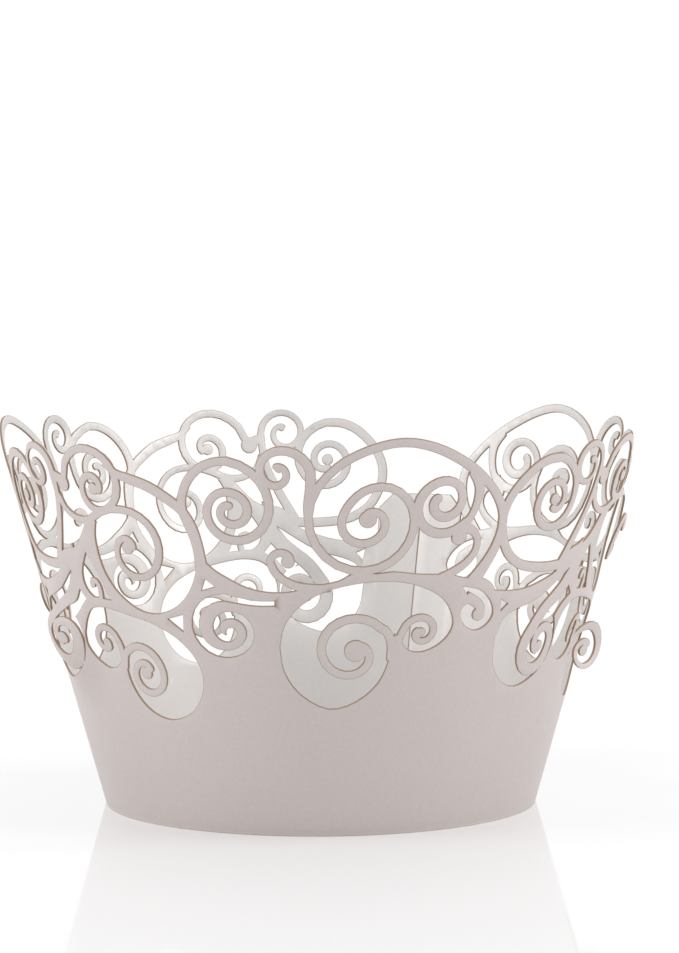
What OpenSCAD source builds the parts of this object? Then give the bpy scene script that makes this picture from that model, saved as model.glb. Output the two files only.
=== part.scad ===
// Laser-cut card wrapper for a standard cupcake: a flared ring with a scrollwork rim.
// The scrollwork is four drawings, side by side, and the set of four is repeated round the ring.
// Each is drawn on the flat blank in millimetres: x runs across the blank from the drawing's own
// centre line, and y runs up it from the base edge. The blank is then rolled into a cone.

/* [Ring] */
// Outer diameter of the base edge
base_d = 54; // [50:0.5:60]
// Outer diameter of the flared card at the height of the tallest scroll
rim_d = 81; // [76:0.5:88]
// Length of the card up its slope, from the base edge to the top of the tallest scroll
slope_length = 50; // [46:0.5:56]
// Thickness of the card
card = 0.3; // [0.25:0.05:0.6]

/* [Scrollwork] */
// Width of a plain stroke
stroke_width = 1; // [0.9:0.05:1.2]

/* [Seam] */
// Height of the glued seam, up the slope
seam_height = 37; // [30:0.5:42]
// Turn round the ring over which the glued flap laps the other end, in degrees
flap_turn = 14; // [8:0.5:16]

/* [Hidden] */

// Sets of drawings round the ring, and flat facets round the card
repeats = 3;
facets = 48;
// How far one region of card runs into the next, in millimetres and in degrees
lap = 1;
turn_lap = 0.4;

// The cone
base_r = base_d / 2;
rim_r = rim_d / 2;
sin_flare = (rim_r - base_r) / slope_length;
cos_flare = sqrt(1 - sin_flare * sin_flare);

// The blank as it is drawn. Its arcs have their centre at the slope distance blank_apex below the
// base edge, and blank_flare is the share of a full turn that the whole ring takes up on it.
blank_length = 50;
blank_apex = 100;
blank_flare = 0.27;
rise = slope_length / blank_length;
// Height on the blank of the plain card under the scrollwork
plain_height = 13;

// Turns of the four centre lines, and of the borders between the drawings. Turn 0 faces -Y.
repeat_turn = 114;
bud_turn = -59;
wheel_turn = -42;
fern_turn = -15.7;
crest_turn = 15.6;
set_start = -79.3;
bud_end = -54;
wheel_end = -25;
fern_end = 0;
set_end = set_start + repeat_turn;

// The seam lies between the end of the last set and the start of the first
seam_half = (360 - repeats * repeat_turn) / 2;
seam_turn = set_end + repeat_turn + seam_half;

// Scroll as points [x, y, width]. Its radius is given at every quarter turn, from the angle start on.
// way is 1 where it turns anticlockwise, and -1 where it turns clockwise.
function bend(a, b, c, d, t) = 0.5 * (2 * b + (c - a) * t + (2 * a - 5 * b + 4 * c - d) * t * t
    + (3 * b - a - 3 * c + d) * t * t * t);
function radius(r, i, t) = let (n = len(r) - 1)
    bend(i == 0 ? 2 * r[0] - r[1] : r[i - 1], r[i], r[min(i + 1, n)], r[min(i + 2, n)], t);
function scroll(centre, start, way, radii, width, end_width) =
    let (n = len(radii) - 1, steps = [for (r = radii) r > 3.7 ? 3 : r > 1.6 ? 2 : 1])
    [for (i = [0 : n], k = [0 : (i == n ? 0 : steps[i] - 1)])
        let (t = k / steps[i], r = radius(radii, i, t), a = start + way * (i + t) * 90)
        [centre[0] + r * cos(a), centre[1] + r * sin(a), width + (end_width - width) * (i + t) / n]];

// Outline of a stroke that runs through points [x, y, width], with widths for a plain stroke of 1 mm
function heading(p, i) = let (d = p[min(i + 1, len(p) - 1)] - p[max(i - 1, 0)]) d / norm([d[0], d[1]]);
function edge(p, i, way) = let (h = heading(p, i), w = way * p[i][2] * stroke_width / 2)
    [p[i][0] - h[1] * w, p[i][1] + h[0] * w];
function outline(p) = let (n = len(p) - 1)
    concat([for (i = [0 : n]) edge(p, i, 1)], [for (i = [0 : n]) edge(p, n - i, -1)]);

// A drawing rolled into the cone, as it is seen straight along its centre line
function roll(points) = [for (p = points)
    let (l = norm([p[0], p[1] + blank_apex]), turn = atan2(p[0], p[1] + blank_apex) / blank_flare,
        s = (l - blank_apex) * rise)
    [(base_r + s * sin_flare) * sin(turn), s * cos_flare]];

module stroke(points) { polygon(roll(outline(points))); }
module area(points) { polygon(roll(points)); }
module dot(centre, r) { area([for (a = [0 : (r < 0.9 ? 60 : 45) : 359]) centre + r * [cos(a), sin(a)]]); }

// Round end of a scroll, drawn out towards the point that it grows from
module knob(centre, r, root) {
    hull() {
        dot(centre, r);
        dot(root, r / 2);
    }
}

// Point of the blank at a height and a turn from the drawing's centre line
function at(height, turn) = (blank_apex + height) * [sin(turn * blank_flare), cos(turn * blank_flare)]
    - [0, blank_apex];

// Card under a drawing, from the plain card up to a top edge, between two turns from its centre line
module land(top, from_turn, to_turn) {
    a = from_turn - turn_lap;
    b = to_turn + turn_lap;
    area(concat(top, [for (t = [b, (a + b) / 2, a]) at(plain_height - lap, t)]));
}

// Bud: a scroll in a loop, a small curl on its shoulder, and a broad leaf scroll in the window below
module bud_land() {
    land([[-12.8, 30.1], [-9.5, 30.05], [-7, 30.3], [-4.5, 31], [-1.6, 32.2], [-1.4, 33.4], [0.7, 34.9],
        [2.2, 35.3], [3.4, 35.9]], set_start - bud_turn, bud_end - bud_turn);
}
module bud_windows() {
    area([[-10.5, 28.9], [-9.2, 28.4], [-10.1, 27.4]]);
    area([[-10.1, 23.5], [-9.3, 26.6], [-7.5, 27.7], [-5, 28.5], [-2.5, 29.8], [1.4, 32.4], [-1.8, 27.2],
        [0.2, 26.4], [1.4, 23.8], [1.1, 21.5], [-0.4, 19.3], [-2.5, 18.1], [-5, 17.7], [-7.4, 18.5],
        [-9.3, 20.8]]);
}
module bud_strokes() {
    stroke(concat([[-1, 33, 1.3], [-5.5, 32.85, 1.25], [-9, 33.4, 1.2], [-11.4, 34.8, 1.2],
        [-12.9, 37.1, 1.2], [-13.3, 39.8, 1.2], [-12.3, 42.8, 1.2], [-10.3, 45.2, 1.2], [-8, 46.4, 1.2]],
        scroll([-5.8, 41], 90, -1, [5.6, 3.9, 3.1, 2.65, 2.55, 1.75, 0.75], 1.1, 0.9)));
    dot([-5.95, 41.3], 1);
    stroke(concat([[-1.2, 33, 1.3], [1, 37.1, 1.1], [2.5, 40.5, 1], [3.1, 43, 0.95]],
        scroll([0.1, 45.3], 0, 1, [3.1, 2.8, 2.4, 2, 1.3, 0.8], 0.95, 0.7)));
    knob([4.9, 43.6], 1.1, [3.2, 44.4]);
    stroke(concat([[2, 31.2, 1.6], [-0.2, 29.2, 1.7], [-2.6, 27, 1.8]],
        scroll([-1.8, 22.9], 155, 1, [2.9, 3.4, 2.3, 2.3, 1.2, 0.9], 1.8, 1)));
}

// Wheel: a large scroll in a round window, a hooked loop over it, and a pair of scrolls below
module wheel_land() {
    land([[-8, 34.9], [-6.2, 36], [-4.2, 38.3], [-3.6, 39.3], [-2, 39.4], [0, 36], [6, 31], [11.2, 33]],
        bud_end - wheel_turn, wheel_end - wheel_turn);
}
module wheel_windows() {
    area([[-2.6, 35], [-2.3, 37.7], [-0.8, 39.9], [2.6, 41.3], [3.6, 44.3], [6, 43.5], [8.8, 41.8],
        [11, 39.7], [11.9, 37], [11.8, 34], [10.5, 31.1], [8.3, 28.9], [5.5, 27.9], [2.5, 28.2],
        [0, 29.8], [-1.9, 32.2]]);
    area([[-5, 34.9], [-4, 33.3], [-3.2, 31.8], [-2.7, 30.4], [-2, 29.1], [-5.4, 29.2], [-6.4, 30],
        [-6.8, 31.2], [-6.4, 32.8]]);
    area([[-8.1, 29.8], [-7, 28.7], [-8.6, 27.4], [-9.9, 25.6], [-11.6, 26.7], [-9.6, 28]]);
    area([[-1.5, 22.9], [-3.2, 20.8], [-5.2, 20.1], [-7.2, 20.9], [-8.3, 23], [-7.9, 25.9], [-6.3, 27.5],
        [-4, 28], [1, 27.3], [4.5, 26.4], [7.4, 24.5], [9.2, 21.9], [9.4, 19], [8, 16.2], [5.6, 14.6],
        [3, 14.3], [0.8, 15.2], [-1, 17.2], [-1.8, 20.4]]);
}
module wheel_strokes() {
    stroke(concat([[-7.2, 41.6, 1], [-6.5, 43.4, 1]],
        scroll([-0.6, 43.4], 150, -1, [5.5, 4.4, 3.2, 2.75, 1.8, 1.2, 0.8], 1.05, 0.9)));
    dot([-0.7, 43.2], 0.85);
    stroke([[1.8, 46.6, 0.9], [3.2, 45.3, 1], [7, 43.95, 1.3], [9.7, 42.3, 1.3], [11.6, 40.3, 1.2],
        [12.5, 37.6, 1.2], [12.5, 34, 1.3]]);
    stroke(concat([[-8.2, 42, 1], [-7, 40, 0.9], [-5, 39.1, 0.9], [-3, 39.2, 1], [-1, 40.1, 1],
        [1.2, 40.75, 1]], scroll([3.2, 36], 90, -1, [4.75, 4.15, 3.65, 1.7, 1.05], 0.95, 0.85)));
    dot([3.1, 36.1], 0.9);
    stroke([[-4, 28.8, 0.9], [-3.75, 30.2, 0.75], [-4.1, 31.2, 0.75], [-4.9, 31.35, 0.7]]);
    dot([-4.95, 30.95], 0.55);
    stroke(concat([[-1.9, 20.6, 0.6], [-1.5, 22.3, 1]],
        scroll([1.6, 20.2], 120, -1, [3.5, 2.7, 2.8, 2.1, 1.3, 0.9], 1, 0.9)));
    stroke(concat([[-2.2, 21.6, 0.6], [-2.1, 23.2, 0.9]],
        scroll([-4.5, 23.6], 30, 1, [2.1, 1.6, 1.3], 0.9, 0.8)));
    knob([-4.4, 23.3], 0.8, [-5.3, 22.7]);
}

// Fern: a coiled scroll, a curl on its shoulder, a curl over the vine and a spiral slot below
module fern_land() {
    land([[-6, 33.4], [-4.4, 34.6], [-3.7, 34.7], [-2.5, 33.7], [-0.8, 32.7], [1.2, 31.7], [3.5, 31.15],
        [6.2, 31.1], [9.9, 31.75]], wheel_end - fern_turn, fern_end - fern_turn);
}
module fern_windows() {
    stroke(concat([[4.3, 29.7, 0.6], [2, 29.75, 0.65], [-0.4, 30.15, 0.8]],
        scroll([-1.6, 26.3], 90, 1, [4.1, 4.1, 3, 2.7, 1.85, 1.4, 1.05], 0.9, 0.85)));
    knob([-1.25, 25.9], 0.7, [-1.6, 25.4]);
    area([[-3.9, 32.6], [-2.7, 31.7], [-4.5, 31.1]]);
    area([[-9.4, 27], [-7.2, 27.8], [-7.4, 25.6]]);
}
module fern_strokes() {
    stroke(concat([[-4.4, 34, 1.3], [-4.5, 36.4, 1.25], [-5.5, 39.4, 1.2], [-6, 41.6, 1.2],
        [-5.5, 43.9, 1.1], [-3.9, 46, 1.1], [-1.9, 47.1, 1.05]],
        scroll([0, 41], 90, -1, [6.3, 4.6, 3.45, 2.75, 2.45, 2.15, 1.5, 1.05], 1, 0.75)));
    dot([-0.2, 41.4], 0.7);
    stroke(concat([[9.1, 39.5, 1], [9.1, 41.5, 1], [9.6, 43.7, 1.2]],
        scroll([5.9, 45.7], 0, 1, [3.9, 2.65, 1.85, 1.55, 1.1, 0.75], 1.15, 0.75)));
    stroke(concat([[9.6, 31.45, 0.8], [6.8, 31.9, 1], [4.8, 33.4, 1]],
        scroll([5.8, 34.9], 180, -1, [1.6, 1.05, 0.75], 0.95, 1)));
    dot([6.3, 34.85], 0.8);
}

// Crest: the tallest scroll, a second scroll hung inside its crown, and a pair of scrolls below
module crest_land() {
    land([[-9.9, 31.7], [-7.5, 32.4], [-5.8, 33.4], [-1, 33.6], [6.3, 32.75], [8.1, 32.2], [10, 32],
        [11.5, 31.3], [12.4, 30.2]], fern_end - crest_turn, set_end - crest_turn);
}
module crest_windows() {
    area([[-0.4, 25.8], [-0.9, 22.6], [-2, 19.6], [-4, 17.5], [-6.9, 16.3], [-10.2, 17.1], [-12.7, 19.6],
        [-13.8, 23.5], [-13.2, 27], [-10.8, 29.9], [-7, 31.7], [-3.5, 32.35], [0, 32.25], [3, 31.3],
        [5.3, 29.8], [6.7, 27.5], [6.4, 25.3], [4.9, 23.9], [3, 23.35], [1.4, 23.7], [0.3, 25.4]]);
    area([[7.7, 31.1], [10.3, 30.3], [11.7, 29], [12.4, 27.3], [11.7, 25.9], [10.1, 25.3], [8.5, 26.1],
        [7.75, 27.8], [8.9, 29], [8.6, 29.9]]);
}
function crest_crown() = concat([[9, 31.5, 1.9], [11.2, 34.5, 1.4], [12.5, 37.7, 1.2], [12.1, 40.8, 1.2],
    [10.2, 43.7, 1.1], [7.5, 46.1, 1.2], [4.2, 48.2, 1.2], [0.7, 49.4, 1.15], [-2.5, 49.4, 1.1],
    [-5.6, 48.4, 1.05], [-8.1, 46.8, 1.05]],
    scroll([-4.6, 40], 135, 1, [7.3, 6.7, 5.85, 4.8, 3.05, 3.3, 2.35, 1.2], 1.05, 1));
module crest_strokes() {
    stroke(crest_crown());
    dot([-4.75, 39.95], 1.05);
    stroke(concat([[7.6, 45.6, 1], [8.7, 44.3, 1.5], [8.9, 42.5, 1.2], [7.9, 39.7, 1]],
        scroll([4, 41.7], -45, -1, [4, 3.25, 2.7, 2.9, 2, 1.25, 1], 1, 0.75)));
    dot([3.75, 42.3], 0.7);
    stroke([[6.6, 39, 1.8], [8.6, 38, 1.1], [9.2, 36.5, 0.9], [8.8, 35, 0.9], [7.4, 33.7, 1],
        [4.5, 32.4, 1.2]]);
    knob([6.7, 37.45], 1, [7, 38.6]);
    stroke(concat([[-0.85, 22.2, 0.6], [-0.8, 24.6, 1], [-1.4, 26, 1.1]],
        scroll([-5.2, 23.6], 45, 1, [4.2, 3.95, 3.5, 2.4, 1], 1.1, 1)));
    dot([-5, 23.65], 1.3);
    stroke(concat([[0.2, 24.2, 0.6], [0.3, 25.6, 0.9]],
        scroll([2.7, 25.8], 150, -1, [2.1, 1.75, 1.4, 0.9, 0.5], 0.95, 0.8)));
    stroke([[8.3, 29.8, 1.4], [9.5, 29.1, 1.3], [10.4, 28.3, 1.2], [10.6, 27.4, 1.1]]);
    knob([10.3, 27.3], 0.85, [10.4, 28]);
}

// Card where the flat ends meet, a plain column with cut shoulders. The flap lies over it, outside.
module column(half, foot, top) {
    area([at(foot, -half), at(foot, 0), at(foot, half), at(top - 2, half), at(top, half - 3),
        at(top, 3 - half), at(top - 2, -half)]);
}

// Wall of the cone up to a slope distance, between an inner and an outer face
module cone_wall(top, inner, outer) {
    z = top * cos_flare;
    r = [for (offset = [inner, outer]) base_r + offset / cos_flare];
    difference() {
        cylinder(h = z, r1 = r[1], r2 = r[1] + top * sin_flare, $fn = facets);
        translate([0, 0, -lap * cos_flare]) cylinder(h = z + 2 * lap * cos_flare,
            r1 = r[0] - lap * sin_flare, r2 = r[0] + (top + lap) * sin_flare, $fn = facets);
    }
}

// Drawing carried straight out from the axis at a turn, once or in every set
module carry(turn) { rotate([0, 0, turn]) rotate([90, 0, 0]) linear_extrude(rim_r + 2 * lap) children(); }
module carry_all(turn) { for (k = [1 : repeats]) carry(turn + (k - 2) * repeat_turn) children(); }

module plain_block() {
    translate([0, 0, -lap]) cylinder(h = lap + plain_height * rise * cos_flare, r = rim_r, $fn = facets);
}

// Height on the blank of the tallest scroll, which is the crown of the crest
crown_height = max([for (p = crest_crown()) p[1] + p[2] / 2]);

module scrollwork() {
    difference() {
        union() {
            carry_all(bud_turn) bud_land();
            carry_all(wheel_turn) wheel_land();
            carry_all(fern_turn) fern_land();
            carry_all(crest_turn) crest_land();
        }
        carry_all(bud_turn) bud_windows();
        carry_all(wheel_turn) wheel_windows();
        carry_all(fern_turn) fern_windows();
        carry_all(crest_turn) crest_windows();
    }
    carry_all(bud_turn) bud_strokes();
    carry_all(wheel_turn) wheel_strokes();
    carry_all(fern_turn) fern_strokes();
    carry_all(crest_turn) crest_strokes();
}

module wrapper() {
    color([0.79, 0.76, 0.73]) {
        intersection() {
            cone_wall((crown_height + lap) * rise, -card, 0);
            union() {
                plain_block();
                scrollwork();
                carry(seam_turn) column(seam_half + turn_lap, plain_height - lap, seam_height / rise);
            }
        }
        intersection() {
            cone_wall(slope_length, -card / 2, card);
            carry(seam_turn) column(flap_turn / 2, 0, seam_height / rise - 1);
        }
    }
}

wrapper();
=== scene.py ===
# %% [markdown]
# # A laser-cut cupcake wrapper
# The real thing is a flat strip of pearly card. A laser cuts scrolls into its upper half, and then the
# strip is rolled into a cone and glued at the back. This lesson makes it in the same order. The
# drawing comes first, flat, in millimetres. Geometry Nodes then repeat it, and later roll it up.

# %% The frame
import math

import bmesh
import bpy
import numpy as np
from mathutils import Euler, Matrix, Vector
from mathutils.geometry import delaunay_2d_cdt
from mathutils.kdtree import KDTree


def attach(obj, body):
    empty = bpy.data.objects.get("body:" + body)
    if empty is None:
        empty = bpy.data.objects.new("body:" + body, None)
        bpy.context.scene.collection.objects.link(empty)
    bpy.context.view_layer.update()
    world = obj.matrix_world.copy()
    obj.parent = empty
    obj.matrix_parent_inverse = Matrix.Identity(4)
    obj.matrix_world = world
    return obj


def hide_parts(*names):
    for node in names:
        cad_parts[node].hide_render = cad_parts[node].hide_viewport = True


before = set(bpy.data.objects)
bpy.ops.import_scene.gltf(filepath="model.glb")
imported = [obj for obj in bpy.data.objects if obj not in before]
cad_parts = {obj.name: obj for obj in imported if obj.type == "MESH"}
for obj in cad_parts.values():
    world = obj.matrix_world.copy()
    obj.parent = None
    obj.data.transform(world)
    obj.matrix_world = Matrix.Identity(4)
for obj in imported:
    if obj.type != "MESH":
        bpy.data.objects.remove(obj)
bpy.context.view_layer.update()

# %% [markdown]
# ## The blank
# A cone unrolls into a slice of a ring. Every point of the card has a distance from the cone's apex
# and a turn round the axis, and on the flat blank that turn shrinks by the same share everywhere.
# The sizes are those of the CAD model: 54 mm across at the base, 81 mm at the top, 50 mm of slope.

# %% Sizes of the blank
MM = 0.001
BASE_R = 27.0
SLOPE = 50.0
FLARE = 0.27
CARD = 0.3
APEX = BASE_R / FLARE


def on_blank(point, turn):
    """A point drawn beside its centre line, moved to that line's turn on the whole blank."""
    along = math.hypot(point[0], point[1] + APEX)
    angle = math.atan2(point[0], point[1] + APEX) + math.radians(turn) * FLARE
    return along * math.sin(angle), along * math.cos(angle)


def at(height, turn):
    """The point of the blank at a height up the slope and a turn, beside the centre line 0."""
    angle = math.radians(turn) * FLARE
    return (APEX + height) * math.sin(angle), (APEX + height) * math.cos(angle) - APEX


print(f"The blank takes {360 * FLARE:.1f} degrees of a ring that starts {APEX:.0f} mm from its centre")

# %% [markdown]
# ## Lines for the drawing
# A scroll is a spiral whose radius is known at every quarter turn. A smooth curve runs through those
# radii, and the same curve runs through the points of the long stems and the edges of the windows.
# Each point also carries the stroke's width there.

# %% Smooth curves and scrolls
def smooth(points, steps=3):
    """A Catmull-Rom curve through points of any dimension."""
    p = np.array(points, float)
    q = np.vstack([2 * p[0] - p[1], p, 2 * p[-1] - p[-2]])
    out = []
    for a, b, c, d in zip(q, q[1:], q[2:], q[3:]):
        for t in np.arange(steps) / steps:
            out.append(0.5 * (2 * b + (c - a) * t + (2 * a - 5 * b + 4 * c - d) * t * t
                              + (3 * b - a - 3 * c + d) * t ** 3))
    out.append(p[-1])
    return np.array(out)


def scroll(centre, start, way, radii, width, end_width, steps=6):
    """A spiral of points [x, y, width]. way is 1 anticlockwise and -1 clockwise."""
    r = smooth(np.array(radii, float).reshape(-1, 1), steps)[:, 0]
    t = np.arange(len(r)) / (len(r) - 1)
    a = np.radians(start + way * 90 * (len(radii) - 1) * t)
    return np.column_stack([centre[0] + r * np.cos(a), centre[1] + r * np.sin(a),
                            width + (end_width - width) * t])


def stem(points, curl):
    """A smooth line through points [x, y, width] that runs on into a scroll."""
    line = smooth(list(points) + [curl[0]])
    return np.vstack([line[:-1], curl])


print("A test scroll has", len(scroll((0, 0), 0, 1, (4, 3, 2, 1), 1, 1)), "points")

# %% [markdown]
# ## Strips, rounds and windows
# A laser burns a thin brown line along each cut. So every shape is drawn twice: once in full, and
# once as a core that stops short of the cut. The band between the two later gets the burnt edge,
# and it drops a little towards the cut, as the edge of real card does. A land is a plain piece of card,
# which starts a little below the top of the plain band and laps over its neighbours by a small turn.

# %% Shapes as faces with a kind
BURN = 0.13
THINNEST_CORE = 0.12
FOOT = 12
TURN_LAP = 0.4
SIDE_START, SIDE_STEP = 0.3, 2.5
LAND, WINDOW, STROKE, CORE, MARGIN = range(5)


def strip(line):
    """The quads of a stroke along a line of points [x, y, width]."""
    line = np.asarray(line, float)
    ahead = np.gradient(line[:, :2], axis=0)
    ahead /= np.linalg.norm(ahead, axis=1)[:, None]
    across = np.column_stack([-ahead[:, 1], ahead[:, 0]]) * (line[:, 2] / 2)[:, None]
    left, right = line[:, :2] + across, line[:, :2] - across
    return [[right[i], right[i + 1], left[i + 1], left[i]] for i in range(len(line) - 1)]


def shrunk(line):
    """The same line with the burnt edge taken off both sides of its width."""
    inner = np.array(line, float)
    inner[:, 2] = np.maximum(inner[:, 2] - 2 * BURN, THINNEST_CORE)
    return inner


def side(top, foot):
    """Points down the side of a land. The first is close to the top, so that the burn stays there."""
    length = np.linalg.norm(foot - top)
    down = np.concatenate([[SIDE_START], np.arange(SIDE_STEP, length - 1, SIDE_STEP)])
    return top + (foot - top) * down[:, None] / length


class Drawing:
    """One of the four drawings. It collects faces as (kind, points) beside its own centre line."""

    def __init__(self, name, turn):
        self.name, self.turn, self.faces, self.windows = name, turn, [], []

    def add(self, kind, faces):
        self.faces += [(kind, face) for face in faces]

    def stroke(self, line):
        """A strip of card along a line, with a round end at its last point."""
        self.add(STROKE, strip(line))
        self.add(CORE, strip(shrunk(line)))
        self.round_end(line[-1][:2], line[-1][2] / 2, 12)

    def round_end(self, centre, r, steps=20):
        """A round of card, such as the eye of a scroll."""
        turn = 2 * math.pi * np.arange(steps) / steps
        circle = np.column_stack([np.cos(turn), np.sin(turn)])
        self.add(STROKE, [np.array(centre) + r * circle])
        self.add(CORE, [np.array(centre) + (r - BURN) * circle])

    def window(self, *runs, steps=3):
        """A hole whose edge is smooth along each run and has a corner where two runs meet."""
        edge = np.vstack([smooth(run, steps)[:-1] for run in runs])
        self.windows.append(edge)
        self.add(WINDOW, [edge])
        self.margin(np.vstack([edge, edge[:2]]))

    def land(self, top, from_turn, to_turn):
        """Card from the plain band up to a top edge, between two turns from the centre line."""
        a, b = from_turn - TURN_LAP, to_turn + TURN_LAP
        foot = np.array([at(FOOT, t) for t in np.linspace(b, a, 8)])
        edge = smooth(top, 3)
        self.add(LAND, [np.vstack([edge, side(edge[-1], foot[0]), foot, side(edge[0], foot[-1])[::-1]])])
        self.margin(edge)

    def margin(self, edge):
        """The burnt edge along a cut. It adds points to the card, and no card."""
        self.add(MARGIN, strip(np.column_stack([edge, np.full(len(edge), 2 * BURN)])))


SET_START, BUD_END, WHEEL_END, FERN_END = -79.3, -54.0, -25.0, 0.0
REPEAT = 114.0
print("The burnt edge is", BURN, "mm wide")

# %% [markdown]
# ## First drawing: the bud
# A scroll hangs inside its own loop, with a small curl on its shoulder. The window under it holds one
# broad leaf scroll. The points were read off the photograph, laid out flat, in millimetres.

# %% The bud
bud = Drawing("bud", -59)
bud.land([(-12.8, 30.1), (-9.5, 30.05), (-7, 30.3), (-4.5, 31), (-1.6, 32.2), (-1.4, 33.4), (0.7, 34.9),
          (2.2, 35.3), (3.4, 35.9)], SET_START - bud.turn, BUD_END - bud.turn)
bud.window([(-10.5, 28.9), (-9.2, 28.4)], [(-9.2, 28.4), (-10.1, 27.4)], [(-10.1, 27.4), (-10.5, 28.9)],
           steps=1)
bud.window([(-10, 24), (-9.3, 26.6), (-7.5, 27.7), (-5, 28.5), (-2.5, 29.8), (1.4, 32.4)],
           [(1.4, 32.4), (-1.0, 29.0), (-1.8, 27.2), (0.2, 26.4), (1.2, 24.6), (1.3, 22.6), (0.4, 20.4),
            (-1.6, 18.7), (-4.6, 17.7), (-7.4, 18.6), (-9.3, 20.9), (-10, 24)])
bud.stroke(stem([(-1, 33, 1.3), (-3.5, 32.85, 1.25), (-6.5, 32.95, 1.25), (-9, 33.4, 1.2),
                 (-11.2, 34.7, 1.2), (-12.6, 36.7, 1.2), (-13.3, 38.8, 1.2), (-13.1, 41, 1.2),
                 (-12, 43.2, 1.2), (-10.1, 45.3, 1.2), (-8, 46.4, 1.2)],
                scroll((-5.8, 41), 90, -1, (5.6, 3.9, 3.1, 2.65, 2.55, 1.75, 0.75), 1.1, 0.9)))
bud.round_end((-5.8, 41.35), 0.75)
bud.stroke(stem([(-1.2, 33, 1.3), (-0.2, 34.9, 1.2), (1.1, 37.3, 1.1), (2.3, 39.9, 1), (3, 42.4, 0.95)],
                scroll((0.1, 45.3), 0, 1, (3.1, 2.8, 2.4, 2, 1.3, 0.8), 0.95, 0.7)))
bud.round_end((0.3, 45.9), 0.45)
bud.round_end((4.9, 43.6), 1.1)
bud.stroke(smooth([(3.0, 44.8, 1.0), (4.4, 44.0, 1.5)]))
bud.stroke(stem([(2, 31.2, 1.6), (-0.2, 29.2, 1.7), (-2.6, 27, 1.8)],
                scroll((-1.8, 22.9), 155, 1, (2.9, 3.4, 2.3, 2.3, 1.2, 0.9), 1.8, 1)))
bud.round_end((-1.75, 22.6), 0.75)
print(bud.name, "has", len(bud.faces), "faces")

# %% [markdown]
# ## Second drawing: the wheel
# The widest scroll of the rim winds into a round window. A hooked loop stands over it, and a pair of
# scrolls shares the window below.

# %% The wheel
wheel = Drawing("wheel", -42)
wheel.land([(-8, 34.9), (-6.2, 36), (-4.2, 38.3), (-3.6, 39.3), (-2, 39.4), (0, 36), (6, 31), (11.2, 33)],
           BUD_END - wheel.turn, WHEEL_END - wheel.turn)
wheel.window([(-2.6, 35), (-2.5, 37.2), (-1.6, 39.2), (0, 40.3), (2.6, 41.3)],
             [(2.6, 41.3), (3.6, 44.3)],
             [(3.6, 44.3), (6.0, 43.5), (8.5, 42.0), (10.5, 40.4), (11.6, 38.5), (11.95, 36.3), (11.8, 34),
              (11.0, 31.9), (9.3, 29.7), (7, 28.3), (4.5, 27.8), (2, 28.4), (-0.5, 30.2), (-2.1, 32.6),
              (-2.6, 35)])
wheel.window([(-5.0, 34.9), (-4.0, 33.3), (-3.2, 31.8), (-2.7, 30.4), (-2.0, 29.1)],
             [(-2.0, 29.1), (-4.6, 29.2), (-5.4, 29.25), (-6.4, 30.0), (-6.8, 31.2), (-6.4, 32.8),
              (-5.0, 34.9)])
wheel.window([(-8.1, 29.8), (-7.0, 28.7)], [(-7.0, 28.7), (-8.6, 27.4), (-9.9, 25.6)],
             [(-9.9, 25.6), (-11.6, 26.7)], [(-11.6, 26.7), (-9.6, 28.0), (-8.1, 29.8)])
wheel.window([(-8.3, 24), (-7.8, 26), (-6.3, 27.5), (-4, 28), (-1.5, 27.8), (1, 27.3), (3.5, 26.7),
              (6, 25.5), (7.8, 24.0), (9.0, 22.2), (9.5, 20), (9.0, 17.8), (7.5, 15.7), (5.5, 14.6),
              (3.6, 14.3), (1.5, 14.9), (-0.3, 16.3), (-1.5, 18.4), (-1.8, 20.4), (-1.5, 22.9)],
             [(-1.5, 22.9), (-2.4, 21.6), (-3.4, 20.6), (-5.2, 20.1), (-7, 20.8), (-8.1, 22.3), (-8.3, 24)])
wheel.stroke(stem([(-6.75, 43.0, 1.0)],
                  scroll((-0.6, 43.4), 150, -1, (5.5, 4.4, 3.2, 2.75, 1.8, 1.2, 0.8), 1.05, 0.9)))
wheel.round_end((-0.7, 43.2), 0.75)
wheel.stroke(smooth([(1.8, 46.6, 0.9), (3.2, 45.3, 1), (5, 44.65, 1.25), (7.5, 43.7, 1.3), (9.7, 42.2, 1.3),
                     (11.4, 40.6, 1.2), (12.3, 38.6, 1.2), (12.55, 36.5, 1.2), (12.5, 34.0, 1.3)]))
wheel.stroke(stem([(-8.2, 42.0, 1.0), (-7.2, 40.2, 0.9), (-5.2, 39.2, 0.9), (-3.0, 39.2, 1.0),
                   (-1.0, 40.1, 1.0), (1.2, 40.75, 1.0)],
                  scroll((3.2, 36.0), 90, -1, (4.75, 4.15, 3.65, 1.7, 1.05, 0.75), 0.95, 0.85)))
wheel.round_end((3.1, 35.9), 0.8)
wheel.stroke(smooth([(-4.0, 28.6, 0.9), (-3.75, 30.2, 0.75), (-4.1, 31.2, 0.75), (-4.9, 31.35, 0.7),
                     (-5.1, 30.7, 0.7)]))
wheel.round_end((-4.95, 30.9), 0.5)
wheel.stroke(stem([(-1.9, 20.4, 0.6), (-1.5, 22.3, 1.0)],
                  scroll((1.6, 20.2), 120, -1, (3.5, 2.7, 2.8, 2.1, 1.3, 0.9), 1.0, 0.9)))
wheel.round_end((1.6, 20.1), 0.8)
wheel.stroke(stem([(-2.2, 21.4, 0.6), (-2.1, 23.2, 0.9)],
                  scroll((-4.5, 23.6), 30, 1, (2.1, 1.6, 1.3, 0.8), 0.9, 0.8)))
wheel.round_end((-4.4, 23.3), 0.7)
print(wheel.name, "has", len(wheel.faces), "faces")

# %% [markdown]
# ## Third drawing: the fern
# A long stem climbs from the land and coils up. The slot under it is the same kind of spiral, cut out
# of the card this time, so its strip counts as a window.

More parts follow.
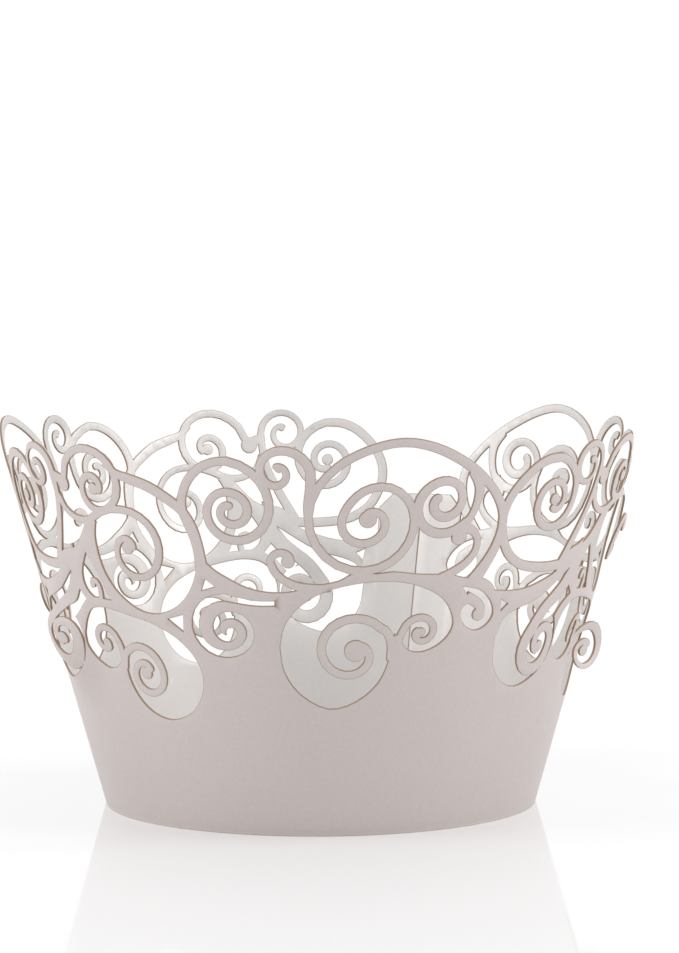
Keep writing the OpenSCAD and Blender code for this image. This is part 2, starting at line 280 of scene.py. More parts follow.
# %% The fern
fern = Drawing("fern", -15.7)
fern.land([(-6, 33.4), (-4.4, 34.6), (-3.7, 34.7), (-2.5, 33.7), (-0.8, 32.7), (1.2, 31.7), (3.5, 31.15),
           (6.2, 31.1), (9.9, 31.75)], WHEEL_END - fern.turn, FERN_END - fern.turn)
slot = stem([(4.3, 29.7, 0.6), (2.0, 29.75, 0.65), (-0.4, 30.15, 0.8)],
            scroll((-1.6, 26.3), 90, 1, (4.1, 4.1, 3.0, 2.7, 1.85, 1.4, 1.05, 0.5), 0.9, 0.85))
fern.add(WINDOW, strip(slot))
fern.add(MARGIN, strip(slot + np.array([0, 0, 2 * BURN])))
slot_eye, slot_eye_r = np.array((-1.2, 25.9)), 0.7
circle = np.array([(math.cos(a), math.sin(a)) for a in np.linspace(0, 2 * math.pi, 20, endpoint=False)])
fern.add(WINDOW, [slot_eye + slot_eye_r * circle])
fern.add(MARGIN, [slot_eye + (slot_eye_r + BURN) * circle])
for corners in ([(-3.9, 32.6), (-2.7, 31.7), (-4.5, 31.1)], [(-9.4, 27.0), (-7.2, 27.8), (-7.4, 25.6)]):
    fern.window(*[[a, b] for a, b in zip(corners, corners[1:] + corners[:1])], steps=1)
fern.stroke(stem([(-4.4, 34.0, 1.3), (-4.4, 35.8, 1.25), (-4.8, 37.8, 1.2), (-5.5, 39.6, 1.2),
                  (-6.0, 41.2, 1.2), (-5.8, 42.9, 1.1), (-4.9, 44.8, 1.1), (-3.4, 46.3, 1.1),
                  (-1.7, 47.1, 1.05)],
                 scroll((0, 41), 90, -1, (6.3, 4.6, 3.45, 2.75, 2.45, 2.15, 1.5, 1.05, 0.75), 1.1, 1.0)))
fern.stroke(stem([(9.1, 39.5, 1.0), (9.1, 41.5, 1.0), (9.6, 43.7, 1.2)],
                 scroll((5.9, 45.7), 0, 1, (3.9, 2.65, 1.85, 1.55, 1.1, 0.75), 1.2, 0.75)))
fern.round_end((6.25, 46.2), 0.5)
fern.stroke(stem([(11, 31.2, 1.0), (8, 31.5, 1.1), (6.2, 32.2, 1.0), (4.8, 33.4, 1.0)],
                 scroll((5.8, 34.9), 180, -1, (1.6, 1.05, 0.75), 0.95, 1.0)))
fern.round_end((6.3, 34.85), 0.8)
print(fern.name, "has", len(fern.faces), "faces")

# %% [markdown]
# ## Fourth drawing: the crest
# The tallest loop of the rim. Its stem swings over the top and winds into the biggest scroll, and a
# second scroll hangs from its crown. The wide window below holds a large scroll and a small one.

# %% The crest
crest = Drawing("crest", 15.6)
crest.land([(-9.9, 31.7), (-7.5, 32.4), (-5.8, 33.4), (-3.1, 33.4), (-1, 33.6), (2, 33.2), (4.5, 33.0),
            (6.3, 32.75), (8.1, 32.2), (10, 32), (11.5, 31.3), (12.4, 30.2)],
           FERN_END - crest.turn, SET_START + REPEAT - crest.turn)
crest.window([(-13.8, 23.5), (-13.5, 26), (-12.3, 28.3), (-10, 30.4), (-7, 31.7), (-3.5, 32.35),
              (0, 32.25), (3, 31.3), (5.3, 29.8), (6.5, 28), (6.85, 26.4), (6.2, 25), (4.8, 23.9),
              (3, 23.35), (1.4, 23.7), (0.6, 24.7), (0.3, 25.4), (-0.4, 25.8)],
             [(-0.4, 25.8), (-0.9, 24.5), (-0.9, 22.6), (-2, 19.6), (-4.5, 17.2), (-7.6, 16.2), (-11, 17.8),
              (-13.1, 20.5), (-13.8, 23.5)])
crest.window([(7.7, 31.1), (8.8, 30.9), (10.3, 30.3), (11.7, 29), (12.4, 27.5), (12.2, 26.4),
              (11.3, 25.6), (10.1, 25.3), (8.9, 25.8), (8.0, 26.8), (7.75, 27.8), (8.1, 28.6), (8.9, 29.0)],
             [(8.9, 29.0), (8.6, 29.9), (7.7, 31.1)])
crest.stroke(stem([(9.0, 31.5, 1.9), (10.9, 34.0, 1.4), (12.1, 36.2, 1.3), (12.6, 38.5, 1.2),
                   (12.3, 40.4, 1.2), (11.2, 42.4, 1.1), (9.7, 44.2, 1.1), (7.9, 45.8, 1.2),
                   (5.5, 47.4, 1.2), (2.8, 48.7, 1.15), (0, 49.4, 1.1), (-2.6, 49.3, 1.05),
                   (-5.4, 48.4, 1.05), (-8.0, 46.9, 1.05)],
                  scroll((-4.6, 40), 135, 1, (7.3, 6.7, 5.85, 4.8, 3.05, 3.3, 2.35, 1.2, 0.55), 1.05, 1.0)))
crest.round_end((-4.75, 40.0), 1.05)
crest.stroke(stem([(7.6, 45.6, 1.0), (8.7, 44.3, 1.5), (8.9, 42.9, 1.2), (8.6, 41.2, 1.0), (7.9, 39.7, 1.0)],
                   scroll((4.0, 41.7), -45, -1, (4.0, 3.25, 2.7, 2.9, 2.0, 1.25, 0.95), 1.15, 1.15)))
crest.stroke(smooth([(6.6, 39.0, 1.8), (7.6, 38.5, 1.4), (8.7, 37.8, 1.0), (9.2, 36.7, 0.9),
                     (9.0, 35.4, 0.9), (7.9, 34.1, 1.0), (6.2, 33.1, 1.1), (4.5, 32.4, 1.2)]))
crest.round_end((6.7, 37.45), 1.0)
crest.stroke(smooth([(6.9, 38.9, 1.4), (6.75, 37.6, 1.6)]))
crest.stroke(stem([(-0.9, 22.4, 0.6), (-0.8, 24.6, 1.0), (-1.4, 26.0, 1.1)],
                  scroll((-5.2, 23.6), 45, 1, (4.2, 3.95, 3.5, 2.4, 1.0), 1.1, 1.0)))
crest.round_end((-5.0, 23.65), 1.35)
crest.stroke(stem([(0.2, 24.0, 0.6), (0.3, 25.6, 0.9)],
                  scroll((2.7, 25.8), 150, -1, (2.1, 1.75, 1.4, 0.9, 0.5), 0.95, 0.8)))
crest.round_end((2.7, 25.8), 0.6)
crest.stroke(smooth([(8.3, 29.8, 1.4), (9.5, 29.1, 1.3), (10.4, 28.3, 1.2), (10.6, 27.4, 1.1)]))
crest.round_end((10.3, 27.3), 0.85)
print(crest.name, "has", len(crest.faces), "faces")

# %% [markdown]
# ## Nodes written as sums
# Node trees are easier to read as formulas. One small class wraps a socket, so that `a * b + 1` adds
# the Math nodes by itself, and one method adds any other node.

# %% Sockets and trees
class Value:
    """A number that flows through a node tree."""

    def __init__(self, tree, socket):
        self.tree, self.socket = tree, socket

    def maths(self, operation, *terms):
        """Adds a Math node that works on the terms."""
        return self.tree.value("ShaderNodeMath", {"operation": operation}, dict(enumerate(terms)))

    def __add__(self, other):
        return self.maths("ADD", self, other)

    def __radd__(self, other):
        return self.maths("ADD", other, self)

    def __sub__(self, other):
        return self.maths("SUBTRACT", self, other)

    def __rsub__(self, other):
        return self.maths("SUBTRACT", other, self)

    def __mul__(self, other):
        return self.maths("MULTIPLY", self, other)

    def __rmul__(self, other):
        return self.maths("MULTIPLY", other, self)

    def __truediv__(self, other):
        return self.maths("DIVIDE", self, other)

    def __pow__(self, other):
        return self.maths("POWER", self, other)

    def sin(self):
        return self.maths("SINE", self)

    def cos(self):
        return self.maths("COSINE", self)

    def least(self, other):
        return self.maths("MINIMUM", self, other)

    def most(self, other):
        return self.maths("MAXIMUM", self, other)


class Tree:
    """A node tree, of a material or of Geometry Nodes."""

    def __init__(self, tree):
        self.tree = tree

    def add(self, kind, settings=None, inputs=None):
        """Adds a node, with its settings first and then the values or links of its sockets."""
        node = self.tree.nodes.new(kind)
        for name, value in (settings or {}).items():
            setattr(node, name, value)
        for name, value in (inputs or {}).items():
            self.feed(node.inputs[name], value)
        return node

    def feed(self, socket, value):
        if isinstance(value, Value):
            value = value.socket
        if isinstance(value, bpy.types.NodeSocket):
            self.tree.links.new(value, socket)
        else:
            socket.default_value = value

    def value(self, kind, settings=None, inputs=None, output=0):
        return Value(self, self.add(kind, settings, inputs).outputs[output])

    def xyz(self, x, y, z):
        return self.add("ShaderNodeCombineXYZ", inputs={0: x, 1: y, 2: z}).outputs[0]

    def split(self, vector):
        node = self.add("ShaderNodeSeparateXYZ", inputs={0: vector})
        return [Value(self, out) for out in node.outputs]


class Steps(Tree):
    """A Geometry Nodes tree with named inputs, that ends in Realize Instances and Set Material."""

    def __init__(self, name, **sizes):
        super().__init__(bpy.data.node_groups.new(name, "GeometryNodeTree"))
        sockets = self.tree.interface
        sockets.new_socket("Geometry", in_out="INPUT", socket_type="NodeSocketGeometry")
        self.keys, self.defaults = {}, sizes
        for size, start in sizes.items():
            kind = "NodeSocketInt" if isinstance(start, int) else "NodeSocketFloat"
            new = sockets.new_socket(size, in_out="INPUT", socket_type=kind)
            new.default_value = start
            self.keys[size] = new.identifier
        sockets.new_socket("Geometry", in_out="OUTPUT", socket_type="NodeSocketGeometry")
        self.start = self.tree.nodes.new("NodeGroupInput")

    def size(self, name):
        return Value(self, self.start.outputs[name])

    def finish(self, geometry, material):
        real = self.add("GeometryNodeRealizeInstances", inputs={0: geometry}).outputs[0]
        set_it = self.add("GeometryNodeSetMaterial", inputs={"Geometry": real, "Material": material})
        self.add("NodeGroupOutput", inputs={0: set_it.outputs[0]})

    def apply(self, obj):
        """Runs the tree on an object and returns the result as a plain mesh."""
        modifier = obj.modifiers.new(self.tree.name, "NODES")
        modifier.node_group = self.tree
        for size, start in self.defaults.items():
            modifier[self.keys[size]] = start
        seen = obj.evaluated_get(bpy.context.evaluated_depsgraph_get())
        mesh = bpy.data.meshes.new_from_object(seen)
        obj.modifiers.remove(modifier)
        return mesh


print("Operators ready:", [name for name in vars(Value) if name.startswith("__r")])

# %% [markdown]
# ## The card's finish
# Pearl card is coated with fine mica, so it has a soft wide sheen and a faint warm grey colour. Where
# the laser passed, the edge is toasted brown, and the brown fades into the face within about a tenth
# of a millimetre. Every vertex of the card will carry that as a number called burn, and the inner side
# is marked as well, because it is a little paler. Clouds and fibres of noise keep it from looking dead.

# %% Pearl card
PEARL = (0.60, 0.535, 0.515, 1)
PEARL_LIGHT = (0.63, 0.565, 0.545, 1)
INNER = (0.655, 0.63, 0.61, 1)
TOAST = (0.235, 0.145, 0.085, 1)
HALO = (0.47, 0.365, 0.285, 1)
METAL = 0.22


def pearl_card():
    """The finish of both sides and of the cut edges."""
    material = bpy.data.materials.new("pearl_card")
    material.use_nodes = True
    t = Tree(material.node_tree)
    shader = material.node_tree.nodes["Principled BSDF"]
    place = t.add("ShaderNodeTexCoord").outputs["Object"]
    burn = t.value("ShaderNodeAttribute", {"attribute_name": "burn"}, output=2)
    cloud = t.value("ShaderNodeTexNoise", inputs={"Vector": place, "Scale": 90.0, "Detail": 3.0})
    fibre = t.value("ShaderNodeTexNoise", inputs={"Vector": place, "Scale": 2600.0, "Detail": 4.0})
    smoke = t.value("ShaderNodeTexNoise", inputs={"Vector": place, "Scale": 700.0, "Detail": 2.0})
    inner = t.value("ShaderNodeAttribute", {"attribute_name": "inside"}, output=2)
    tone = t.add("ShaderNodeMix", {"data_type": "RGBA"}, {0: cloud, 6: PEARL, 7: PEARL_LIGHT}).outputs[2]
    tone = t.add("ShaderNodeMix", {"data_type": "RGBA"}, {0: inner, 6: tone, 7: INNER}).outputs[2]
    fleck = t.add("ShaderNodeMix", {"data_type": "RGBA", "blend_type": "OVERLAY"},
                  {0: 0.10, 6: tone, 7: fibre}).outputs[2]
    haze = (burn * (0.45 + 0.9 * smoke)).least(1.0)
    warmed = t.add("ShaderNodeMix", {"data_type": "RGBA"}, {0: haze, 6: fleck, 7: HALO}).outputs[2]
    toast = burn ** 3.0 * 0.85
    colour = t.add("ShaderNodeMix", {"data_type": "RGBA"}, {0: toast, 6: warmed, 7: TOAST}).outputs[2]
    t.feed(shader.inputs["Base Color"], colour)
    t.feed(shader.inputs["Roughness"], 0.40 + 0.10 * cloud + 0.35 * burn)
    t.feed(shader.inputs["Metallic"], METAL - METAL * burn)
    bump = t.add("ShaderNodeBump", inputs={"Height": fibre, "Strength": 0.12, "Distance": 0.00003})
    t.feed(shader.inputs["Normal"], bump.outputs[0])
    shader.inputs["Sheen Weight"].default_value = 0.08
    shader.inputs["Specular IOR Level"].default_value = 0.55
    return material


card_finish = pearl_card()
print("The finish has", len(card_finish.node_tree.nodes), "nodes")

# %% [markdown]
# ## Repeating the drawings
# The four drawings fill 114 degrees, and three such sets go round the ring. Each face of the drawings
# becomes a loose face of a mesh, with its kind as an attribute. A short tree puts three copies on one
# point, the blank's centre, and turns each by its share.

# %% The flat set, three times
def blank_mesh(name, faces):
    """A mesh of loose faces, from a list of (kind, points in mm on the blank)."""
    corners, polygons = [], []
    for _, face in faces:
        polygons.append(range(len(corners), len(corners) + len(face)))
        corners += [(x, y, 0.0) for x, y in face]
    mesh = bpy.data.meshes.new(name)
    mesh.from_pydata(corners, [], [list(p) for p in polygons])
    kinds = mesh.attributes.new("kind", "INT", "FACE")
    kinds.data.foreach_set("value", [kind for kind, _ in faces])
    return mesh


one_set = [(kind, [on_blank(p, d.turn) for p in face])
           for d in (bud, wheel, fern, crest) for kind, face in d.faces]
set_object = bpy.data.objects.new("one_set", blank_mesh("one_set", one_set))
bpy.context.scene.collection.objects.link(set_object)

repeat = Steps("repeat_round_the_blank", Copies=3, Turn=math.radians(REPEAT) * FLARE)
points = repeat.add("GeometryNodePoints", inputs={"Count": repeat.size("Copies")}).outputs[0]
index = repeat.value("GeometryNodeInputIndex")
angle = (1 - index) * repeat.size("Turn")
copies = repeat.add("GeometryNodeInstanceOnPoints", inputs={
    "Points": points,
    "Instance": repeat.start.outputs["Geometry"],
    "Rotation": repeat.xyz(0.0, 0.0, angle)})
repeat.finish(copies.outputs[0], card_finish)
three_sets = repeat.apply(set_object)
bpy.data.objects.remove(set_object)
print("Three sets have", len(three_sets.polygons), "faces")

# %% [markdown]
# ## Cutting the card
# All those faces overlap. A constrained Delaunay triangulation lays them over each other, and says for
# each small triangle which faces cover it. A triangle is card where a stroke covers it, or the land
# does and no window does. Straight lines up the slope go in too, so that the card can bend later, and
# they have enough points that a burn never spreads along a long thin triangle.

# %% The triangulation
FOLD_TURN, FOLD_POINTS, FOLD_OVER = 2.5, 22, 0.5
SPECK = 1e-5
MERGE = 1e-4
MARK_STEP = 0.08


def cut_card(faces, first, last):
    """The points and triangles of the card left by faces (kind, points), between two turns."""
    corners, polygons, kinds = [], [], []
    for kind, face in faces:
        face = np.asarray(face, float)[:, :2]
        for piece in ([face[[0, 1, 2]], face[[0, 2, 3]]] if len(face) == 4 else [face]):
            x, y = piece[:, 0], piece[:, 1]
            area = np.sum(x * np.roll(y, -1) - np.roll(x, -1) * y) / 2
            if abs(area) < SPECK:
                continue
            piece = piece if area > 0 else piece[::-1]
            polygons.append(list(range(len(corners), len(corners) + len(piece))))
            corners += [Vector(p) for p in piece]
            kinds.append(kind)
    folds = []
    heights = np.linspace(-FOLD_OVER, SLOPE + FOLD_OVER, FOLD_POINTS)
    for turn in np.linspace(first, last, int(round((last - first) / FOLD_TURN)) + 1)[1:-1]:
        line = [Vector(on_blank((0, height), turn)) for height in heights]
        folds += [(len(corners) + i, len(corners) + i + 1) for i in range(len(line) - 1)]
        corners += line
    out, _, triangles, _, _, covers = delaunay_2d_cdt(corners, folds, polygons, 1, MERGE, True)
    kept = []
    for triangle, over in zip(triangles, covers):
        under = {kinds[i] for i in over}
        if STROKE in under or (LAND in under and WINDOW not in under):
            kept.append(triangle)
    used = sorted({i for triangle in kept for i in triangle})
    new = {old: i for i, old in enumerate(used)}
    return np.array([out[i] for i in used]), [[new[i] for i in triangle] for triangle in kept]


def burnt(points, triangles):
    """How burnt each point is: 1 on a cut, and 0 from the width of the burn inwards."""
    uses = {}
    for triangle in triangles:
        for a, b in zip(triangle, triangle[1:] + triangle[:1]):
            uses[frozenset((a, b))] = uses.get(frozenset((a, b)), 0) + 1
    cuts = [tuple(pair) for pair, count in uses.items() if count == 1]
    marks = []
    for a, b in cuts:
        share = np.linspace(0, 1, int(np.linalg.norm(points[a] - points[b]) / MARK_STEP) + 2)[:, None]
        marks.append(points[a] * (1 - share) + points[b] * share)
    marks = np.vstack(marks)
    tree = KDTree(len(marks))
    for i, mark in enumerate(marks):
        tree.insert((*mark, 0), i)
    tree.balance()
    away = np.array([tree.find((*p, 0))[2] for p in points])
    return np.clip(1 - away / BURN, 0, 1), sum(np.linalg.norm(points[a] - points[b]) for a, b in cuts)


# %% [markdown]
# ## The whole strip
# The three sets meet the plain band along the base and a plain strip at each end, where the wrapper
# is glued. The flap that laps over the joint is a second small piece of card.

# %% Plain pieces of card
SEAM_TURN, SEAM_HALF, SEAM_HEIGHT = 157.7, 9.0, 37.0
FLAP_HALF, FLAP_FOOT, FLAP_DROP = 7.0, 0.15, 1
SHOULDER_TURN, SHOULDER_DROP = 3, 2
PLAIN_HEIGHT = 13
JOINT_GAP = 0.04
INSET = 0.25


def sector(low, high, a, b):
    """A piece of the blank between two heights and two turns."""
    turns = np.linspace(a, b, max(int(abs(b - a)), 1) + 1)
    return [on_blank((0, low), t) for t in turns[::-1]] + [on_blank((0, high), t) for t in turns]


def shouldered(near, far, top, foot):
    """A plain end of the card from one turn to another, with its far top corner cut off."""
    back = math.copysign(SHOULDER_TURN, near - far)
    return [on_blank((0, h), t) for h, t in
            ((foot, near), (foot, far), (top - SHOULDER_DROP, far), (top, far + back), (top, near))]


first, last = SEAM_TURN - 360 + JOINT_GAP, SEAM_TURN - JOINT_GAP
first_end, last_end = SEAM_TURN - 360 + SEAM_HALF + TURN_LAP, SEAM_TURN - SEAM_HALF - TURN_LAP
print("The strip runs from turn", round(first, 2), "to turn", round(last, 2))

# %% Cutting the strip
kinds = np.zeros(len(three_sets.polygons), int)
three_sets.attributes["kind"].data.foreach_get("value", kinds)
corners = np.array([v.co[:2] for v in three_sets.vertices])
faces = [(int(kind), corners[list(p.vertices)]) for kind, p in zip(kinds, three_sets.polygons)]
faces += [(LAND, sector(0, PLAIN_HEIGHT, first, last)),
          (LAND, shouldered(first, first_end, SEAM_HEIGHT, FOOT)),
          (LAND, shouldered(last, last_end, SEAM_HEIGHT, FOOT)),
          (MARGIN, sector(0, BURN, first, last)),
          (MARGIN, shouldered(first + INSET, first_end - INSET, SEAM_HEIGHT - BURN, BURN)),
          (MARGIN, shouldered(last - INSET, last_end + INSET, SEAM_HEIGHT - BURN, BURN))]
strip_points, strip_triangles = cut_card(faces, first, last)
strip_burn, cut_length = burnt(strip_points, strip_triangles)
print("The strip has", len(strip_triangles), "triangles. The laser's path is", round(cut_length), "mm")

# %% Cutting the flap
left, right = SEAM_TURN - FLAP_HALF, SEAM_TURN + FLAP_HALF
flap_top = SEAM_HEIGHT - FLAP_DROP
flap_faces = [(LAND, shouldered(SEAM_TURN, left, flap_top, FLAP_FOOT)),
              (LAND, shouldered(SEAM_TURN, right, flap_top, FLAP_FOOT)),
              (MARGIN, shouldered(SEAM_TURN, left + INSET, flap_top - BURN, FLAP_FOOT + BURN)),
              (MARGIN, shouldered(SEAM_TURN, right - INSET, flap_top - BURN, FLAP_FOOT + BURN))]
flap_points, flap_triangles = cut_card(flap_faces, left, right)
flap_burn, _ = burnt(flap_points, flap_triangles)
print("The flap has", len(flap_triangles), "triangles")

# %% [markdown]
# ## Springy scrolls
# Card that is rolled keeps wanting to be flat. The wide parts can't, but a scroll that hangs in a
# window by its stem springs out like a small door: not at all at its hinge, and most at its far side.
# The free curls of the rim lean out a little too. Each copy springs a little differently, so every
# height is given for the copies on the left, in front and on the right. A door has the number of its
# window, its hinge, its eye and its reach. A lean has its middle and its reach.

# %% Doors and leans
DOORS = {wheel: [(3, (-1.6, 22.2), (1.6, 20.2), 4.5, (1.2, 0.4, 2.6)),
                 (3, (-2.1, 22.4), (-4.5, 23.6), 2.5, (0.6, 0.3, 0.9))],
         crest: [(0, (-0.8, 23.6), (-5.2, 23.6), 5.0, (2.0, 0.7, 1.0)),
                 (0, (0.2, 24.6), (2.7, 25.8), 2.6, (0.7, 0.3, 0.5))]}
LEANS = {bud: [((-5.8, 41), 6, (0.3, 0.2, 0.3)), ((0.1, 45.3), 4, (0.4, 0.5, 0.3)),
               ((-4.0, 22.5), 8, (1.0, 2.2, 0.2))],
         wheel: [((-0.6, 43.4), 6, (0.2, 0.3, 0.4)), ((3.2, 36), 6.5, (0.7, 0.6, 1.6))],
         fern: [((0, 41), 7, (0.3, 0.4, 0.2)), ((5.9, 45.7), 4.5, (0.6, 0.5, 0.7))],
         crest: [((-4.6, 40), 8, (0.5, 0.4, 0.3)), ((4, 41.7), 5, (0.3, 0.5, 0.4))]}


print("Doors in", len(DOORS), "drawings, and leans in", len(LEANS))

# %% How far each point springs out
DOOR_SIZE = 0.7
DOOR_END = 1.2
DOOR_CURVE = 1.5
DOOR_EDGE = 0.5
FAR = 3


def depth_inside(points, edge):
    """How deep each point lies inside a closed edge, in mm, and below 0 outside it."""
    a, b = edge, np.roll(edge, -1, axis=0)
    along = b - a
    offset = points[:, None, :] - a[None]
    share = np.clip((offset * along).sum(2) / (along * along).sum(1), 0, 1)
    near = np.linalg.norm(offset - share[..., None] * along, axis=2).min(1)
    x, y = points[:, 0, None], points[:, 1, None]
    rise = np.where(along[:, 1] == 0, 1e-9, along[:, 1])
    crossed = ((a[:, 1] > y) != (b[:, 1] > y)) & (x < a[:, 0] + (y - a[:, 1]) / rise * along[:, 0])
    return np.where(crossed.sum(1) % 2 == 1, near, -near)


def leaning(middle, reach, height):
    """A soft bump of the card, highest at its middle and level from its reach outwards."""
    away = np.linalg.norm(strip_points - np.array(middle), axis=1) / reach
    return height * np.clip(1 - away ** 2, 0, 1) ** 2


def swinging(drawing, turned, copy):
    """How far the doors of one copy swing out. Where two doors share a window, the nearer one counts."""
    nearest = np.full(len(strip_points), float(FAR ** 2))
    swing = np.zeros(len(strip_points))
    for window, hinge, eye, reach, heights in DOORS.get(drawing, []):
        edge = np.array([on_blank(point, turned) for point in drawing.windows[window]])
        centre, pin = np.array(on_blank(eye, turned)), np.array(on_blank(hinge, turned))
        away = np.linalg.norm(strip_points - centre, axis=1) / reach
        size = np.linalg.norm(centre - pin) + reach * DOOR_SIZE
        mine = np.flatnonzero(away < FAR)
        depth = depth_inside(strip_points[mine], edge)
        door = np.linalg.norm(strip_points[mine] - pin, axis=1) / size
        height = heights[copy + 1] * np.clip(door, 0, DOOR_END) ** DOOR_CURVE
        height = height * np.clip(depth / DOOR_EDGE, 0, 1)
        closer = away[mine] < nearest[mine]
        swing[mine[closer]] = height[closer]
        nearest[mine[closer]] = away[mine][closer]
    return swing


lift = np.zeros(len(strip_points))
for drawing in (bud, wheel, fern, crest):
    for copy in (-1, 0, 1):
        turned = drawing.turn + copy * REPEAT
        for middle, reach, heights in LEANS[drawing]:
            lift += leaning(on_blank(middle, turned), reach, heights[copy + 1])
        lift += swinging(drawing, turned, copy)
print("The scrolls spring out by up to", round(lift.max(), 2), "mm")

# %% [markdown]
# ## Rolling it up
# This tree takes the flat sheet, gives it the thickness of card, eases the burnt edges and rolls the
# result into the cone. A point's distance from the blank's centre gives its height and radius, and
# its angle there, divided by the flare, gives its turn round the axis. A scroll that springs out also
# climbs, a little at first and more as it opens.

# %% The tree that rolls the card
roll = Steps("thicken_and_roll", Card=CARD, Apex=APEX, Base_radius=BASE_R, Flare=FLARE, Ease=0.035,
             Climb=0.5, Curl=0.15)
card_t, apex_t, flare_t = roll.size("Card"), roll.size("Apex"), roll.size("Flare")
flat = roll.start.outputs["Geometry"]
grown = roll.add("GeometryNodeExtrudeMesh", {"mode": "FACES"},
                 {"Mesh": flat, "Offset": (0, 0, 1), "Offset Scale": card_t, "Individual": False})
marked = roll.add("GeometryNodeStoreNamedAttribute", {"data_type": "FLOAT", "domain": "POINT"},
                  {"Geometry": flat, "Name": "inside", "Value": 1.0})
inside = roll.add("GeometryNodeFlipFaces", inputs={"Mesh": marked.outputs[0]})
both = roll.tree.nodes.new("GeometryNodeJoinGeometry")
roll.feed(both.inputs[0], grown.outputs["Mesh"])
roll.feed(both.inputs[0], inside.outputs[0])
sealed = roll.add("GeometryNodeMergeByDistance",
                  inputs={"Geometry": both.outputs[0], "Distance": 0.00001})

x, y, z = roll.split(roll.add("GeometryNodeInputPosition").outputs[0])
burn = roll.value("GeometryNodeInputNamedAttribute", {"data_type": "FLOAT"}, {"Name": "burn"})
spring = roll.value("GeometryNodeInputNamedAttribute", {"data_type": "FLOAT"}, {"Name": "lift"})
eased = z + roll.size("Ease") * burn * (1 - 2 * z / card_t)
out = eased - card_t + spring
climb = spring * (roll.size("Climb") + roll.size("Curl") * spring)
up = (x * x + y * y) ** 0.5 - apex_t + climb
turn = x.maths("ARCTAN2", x, y) / flare_t
level = (1 - flare_t * flare_t) ** 0.5
reach = (roll.size("Base_radius") + up * flare_t + out * level) * MM
rolled = roll.xyz(reach * turn.sin(), (0 - reach) * turn.cos(), (up * level - out * flare_t) * MM)
moved = roll.add("GeometryNodeSetPosition", inputs={"Geometry": sealed.outputs[0], "Position": rolled})
roll.finish(moved.outputs[0], card_finish)
print("The rolling tree has", len(roll.tree.nodes), "nodes")

# %% [markdown]
# ## The wrapper
# The strip and its flap go through that tree as one flat sheet. The flap lies one card further out,
# with a hair of glue under it. The cut edges stay crisp, because smooth shading stops at a sharp angle.

# %% The wrapper
GLUE = 0.02
SHARP = math.radians(35)
points = np.vstack([strip_points, flap_points])
triangles = strip_triangles + [[i + len(strip_points) for i in t] for t in flap_triangles]
sheet = bpy.data.meshes.new("flat_card")
sheet.from_pydata([(x, y, 0) for x, y in points], [], triangles)
for name, values in (("burn", np.concatenate([strip_burn, flap_burn])),
                     ("lift", np.concatenate([lift, np.full(len(flap_points), CARD + GLUE)]))):
    sheet.attributes.new(name, "FLOAT", "POINT").data.foreach_set("value", values)
flat_card = bpy.data.objects.new("flat_card", sheet)
bpy.context.scene.collection.objects.link(flat_card)
mesh = roll.apply(flat_card)
bpy.data.objects.remove(flat_card)
mesh.name = "wrapper"
mesh.shade_smooth()
mesh.set_sharp_from_angle(angle=SHARP)
wrapper = bpy.data.objects.new("wrapper_card", mesh)
bpy.context.scene.collection.objects.link(wrapper)

work = bmesh.new()
work.from_mesh(mesh)
open_edges = sum(not edge.is_manifold for edge in work.edges)
print("The wrapper has", len(mesh.polygons), "faces,", open_edges, "open edges and a volume of",
      round(work.calc_volume(signed=True) * 1e9), "cubic mm")
work.free()

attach(wrapper, "root")
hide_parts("wrapper")

# %% [markdown]
# ## The table
# A plain pale sheet lies under the wrapper and runs out into white. It is smooth and a little glossy,
# so the wrapper stands on a faint reflection of itself. The material fades to plain white with the
# distance from the wrapper, which hides where the sheet ends.

# %% The floor
FLOOR_GREY = (0.44, 0.44, 0.44, 1)
WHITE = (1, 1, 1, 1)
FLOOR_GLOW = 0.31
FADE_START, FADE_WIDTH = 0.03, 0.12
FLOOR_CORNERS = [(-3, -3, 0), (3, -3, 0), (3, 6, 0), (-3, 6, 0)]


def pale_floor():
    """A glossy pale sheet near the wrapper that turns to plain white further out."""
    material = bpy.data.materials.new("pale_floor")
    material.use_nodes = True
    t = Tree(material.node_tree)
    shader = material.node_tree.nodes["Principled BSDF"]
    shader.inputs["Base Color"].default_value = FLOOR_GREY
    shader.inputs["Roughness"].default_value = 0.05
    shader.inputs["Emission Color"].default_value = WHITE
    shader.inputs["Emission Strength"].default_value = FLOOR_GLOW
    across, deep, _ = t.split(t.add("ShaderNodeTexCoord").outputs["Object"])
    away = ((across * across + deep * deep) ** 0.5 - FADE_START) / FADE_WIDTH
    white = t.add("ShaderNodeEmission", inputs={0: WHITE, 1: 1.0})
    fade = t.value("ShaderNodeClamp", inputs={0: away})
    mix = t.add("ShaderNodeMixShader", inputs={0: fade, 1: shader.outputs[0], 2: white.outputs[0]})
    t.feed(material.node_tree.nodes["Material Output"].inputs["Surface"], mix.outputs[0])
    return material


floor_mesh = bpy.data.meshes.new("floor")
floor_mesh.from_pydata(FLOOR_CORNERS, [], [[0, 1, 2, 3]])
floor_mesh.materials.append(pale_floor())
floor = bpy.data.objects.new("floor", floor_mesh)
bpy.context.scene.collection.objects.link(floor)
print("The floor fades to white", FADE_START + FADE_WIDTH, "m from the wrapper's axis")

# %% [markdown]
# ## The light
# White card shows its form only by soft differences, so the light comes from almost everywhere. Two
# large round lamps stand high on the left and the right, and the right one is a little stronger. The
# surround is a pale grey for the light that it sends, and plain white where it is seen or mirrored.

# %% The lamps and the white surround
LAMP_AIM = (0, 0, 0.03)
LAMP_SIZE = 0.5
SURROUND = (0.605, 0.605, 0.615, 1)


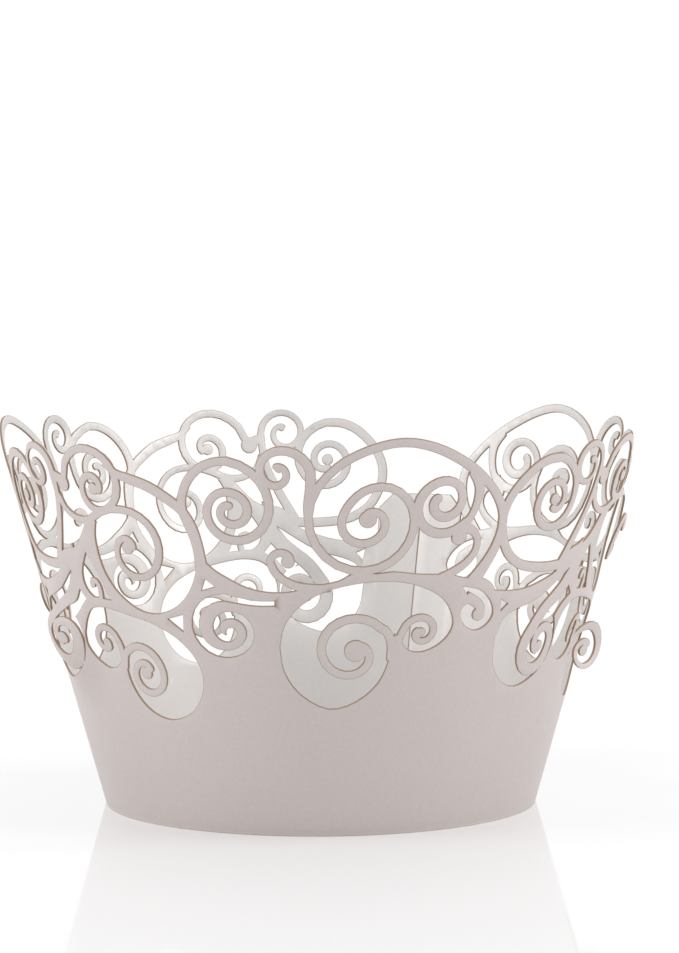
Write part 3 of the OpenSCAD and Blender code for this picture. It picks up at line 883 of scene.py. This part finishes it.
def soft_lamp(name, place, watts):
    """A large round lamp that faces the wrapper."""
    lamp = bpy.data.lights.new(name, "AREA")
    lamp.shape, lamp.size, lamp.energy = "DISK", LAMP_SIZE, watts
    obj = bpy.data.objects.new(name, lamp)
    obj.location = place
    obj.rotation_euler = (Vector(LAMP_AIM) - Vector(place)).to_track_quat("-Z", "Y").to_euler()
    bpy.context.scene.collection.objects.link(obj)


soft_lamp("lamp_right", (0.62, -0.10, 0.60), 3.8)
soft_lamp("lamp_left", (-0.62, -0.15, 0.55), 3.0)

world = bpy.data.worlds.new("white_surround")
bpy.context.scene.world = world
world.use_nodes = True
w = Tree(world.node_tree)
light_path = w.add("ShaderNodeLightPath")
seen = Value(w, light_path.outputs["Is Camera Ray"])
mirrored = Value(w, light_path.outputs["Is Glossy Ray"])
through = Value(w, light_path.outputs["Is Transmission Ray"])
direct = seen.most(mirrored).most(through)
tint = w.add("ShaderNodeMix", {"data_type": "RGBA"}, {0: direct, 6: SURROUND, 7: WHITE})
w.feed(world.node_tree.nodes["Background"].inputs["Color"], tint.outputs[2])

# %% [markdown]
# ## The camera
# The photograph was taken from almost level, with a long lens that looks a little down. The lens and
# the tilt come from the two ovals of the ring and from the slope of its sides.

# %% The camera
LENS, SENSOR = 136.1, 36.0
SHIFT = 0.02126
CAMERA_PLACE = (0, -0.45, 0.07604)
LOOK_DOWN, ROLL = math.radians(4.484), math.radians(-0.297)

camera = bpy.data.cameras.new("camera")
camera.lens, camera.sensor_width = LENS, SENSOR
camera.shift_x = SHIFT
view = bpy.data.objects.new("camera", camera)
view.location = CAMERA_PLACE
view.rotation_euler = (Euler((math.pi / 2 - LOOK_DOWN, 0, 0)).to_matrix()
                       @ Euler((0, 0, ROLL)).to_matrix()).to_euler()
bpy.context.scene.collection.objects.link(view)
bpy.context.scene.camera = view
bpy.context.scene.view_settings.view_transform = "Standard"
print("The camera looks from", tuple(round(c, 3) for c in view.location))

# %% [markdown]
# The dressed wrapper has to fill the same box as the plain solid.
